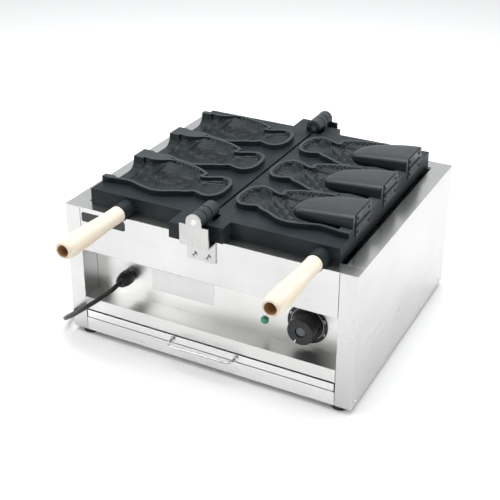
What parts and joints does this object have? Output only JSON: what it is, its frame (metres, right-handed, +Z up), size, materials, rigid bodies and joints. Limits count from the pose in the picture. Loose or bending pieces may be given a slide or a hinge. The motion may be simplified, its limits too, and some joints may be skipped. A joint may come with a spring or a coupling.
{
  "type": "taiyaki maker",
  "caption": "Countertop fish-cake griddle: hinged mould plates on a stainless cabinet, lift-up mouth formers, crumb tray, thermostat dial.",
  "frame": {"origin": "centre of the footprint on the table, midway between the tips of the handles and the rear hinge bracket, at the underside of the feet", "axes": "+X to the right as seen by the user, +Y to the back, +Z up"},
  "size_m": [0.6754, 0.642, 0.3095],
  "materials": {
    "satin_steel": "fine brushed stainless",
    "plain_steel": "plain rolled stainless",
    "bright_wire": "polished stainless wire",
    "screw_steel": "bright plated steel",
    "foot_rubber": "matt black rubber",
    "black_badge": "bare black badge",
    "white_plate": "bare white plate",
    "element_sheath": "heat-darkened tube",
    "thermostat_case": "pale thermostat body",
    "brass_shaft": "turned brass",
    "copper_bulb": "copper",
    "black_knob": "satin black plastic",
    "grey_cap": "grey plastic",
    "dial_black": "black disc with plain white dots",
    "green_lens": "green translucent lens",
    "lamp_black": "black plastic",
    "terminal_ceramic": "pale ceramic",
    "lead_sleeve": "woven heatproof sleeve",
    "gland_black": "black nylon",
    "coated_casting": "dark non-stick coat on cast aluminium",
    "dark_leaf": "dark coated steel",
    "pale_wood": "pale turned wood",
    "cord_black": "black rubber"
  },
  "bodies": {
    "cabinet": {"left_side_panel": "satin_steel", "right_side_panel": "satin_steel", "front_fascia": "satin_steel", "rear_panel": "satin_steel", "control_panel": "satin_steel", "shelf": "satin_steel", "base_pan": "satin_steel", "front_liner": "plain_steel", "left_liner": "plain_steel", "right_liner": "plain_steel", "rear_liner": "plain_steel", "tray_runners": "plain_steel", "element_rails": "plain_steel", "feet": "foot_rubber", "foot_screws": "screw_steel", "panel_screws": "screw_steel", "badge_plate": "black_badge", "rating_plate": "white_plate", "left_element": "element_sheath", "right_element": "element_sheath", "thermostat": "thermostat_case", "thermostat_bulb": "copper_bulb", "dial_ring": "dial_black", "lamp_lens": "green_lens", "lamp_body": "lamp_black", "terminal_block": "terminal_ceramic", "inner_leads": "lead_sleeve", "gland_body": "gland_black", "gland_nut": "gland_black", "front_bracket": "satin_steel", "rear_bracket": "satin_steel", "bracket_screws": "screw_steel", "hinge_pins": "screw_steel", "cord_lead": "cord_black", "cord_coil": "cord_black", "cord_tail": "cord_black", "plug_body": "cord_black", "plug_pins": "screw_steel"},
    "left_plate": {"left_plate": "coated_casting", "left_rod": "screw_steel", "left_grip": "pale_wood"},
    "right_plate": {"right_plate": "coated_casting", "right_rod": "screw_steel", "right_grip": "pale_wood", "fixed_leaves": "dark_leaf", "leaf_pins": "screw_steel", "fixed_leaf_screws": "dark_leaf"},
    "front_former": {"front_former": "coated_casting", "front_leaf": "dark_leaf"},
    "middle_former": {"middle_former": "coated_casting", "middle_leaf": "dark_leaf"},
    "rear_former": {"rear_former": "coated_casting", "rear_leaf": "dark_leaf"},
    "knob": {"knob": "black_knob", "knob_cap": "grey_cap", "thermostat_shaft": "brass_shaft"},
    "tray": {"crumb_tray": "satin_steel", "tray_pull": "bright_wire"}
  },
  "joints": [
    {"name": "left_plate_swing", "type": "hinge", "parent": "cabinet", "child": "left_plate", "pos_m": [0, -0.16581, 0.2875], "axis": [0, 1, 0], "range_deg": [0, 180]},
    {"name": "right_plate_swing", "type": "hinge", "parent": "cabinet", "child": "right_plate", "pos_m": [0, -0.16581, 0.2875], "axis": [0, -1, 0], "range_deg": [0, 180]},
    {"name": "front_former_lift", "type": "hinge", "parent": "right_plate", "child": "front_former", "pos_m": [0.2287, -0.05681, 0.2885], "axis": [0, -1, 0], "range_deg": [-120, 0]},
    {"name": "middle_former_lift", "type": "hinge", "parent": "right_plate", "child": "middle_former", "pos_m": [0.2287, 0.06419, 0.2885], "axis": [0, -1, 0], "range_deg": [-120, 0]},
    {"name": "rear_former_lift", "type": "hinge", "parent": "right_plate", "child": "rear_former", "pos_m": [0.2287, 0.18519, 0.2885], "axis": [0, -1, 0], "range_deg": [-120, 0]},
    {"name": "knob_turn", "type": "hinge", "parent": "cabinet", "child": "knob", "pos_m": [0.169, -0.13581, 0.119], "axis": [0, 1, 0], "range_deg": [0, 270]},
    {"name": "tray_pull_out", "type": "slide", "parent": "cabinet", "child": "tray", "axis": [0, -1, 0], "range_m": [0, 0.35]}
  ]
}
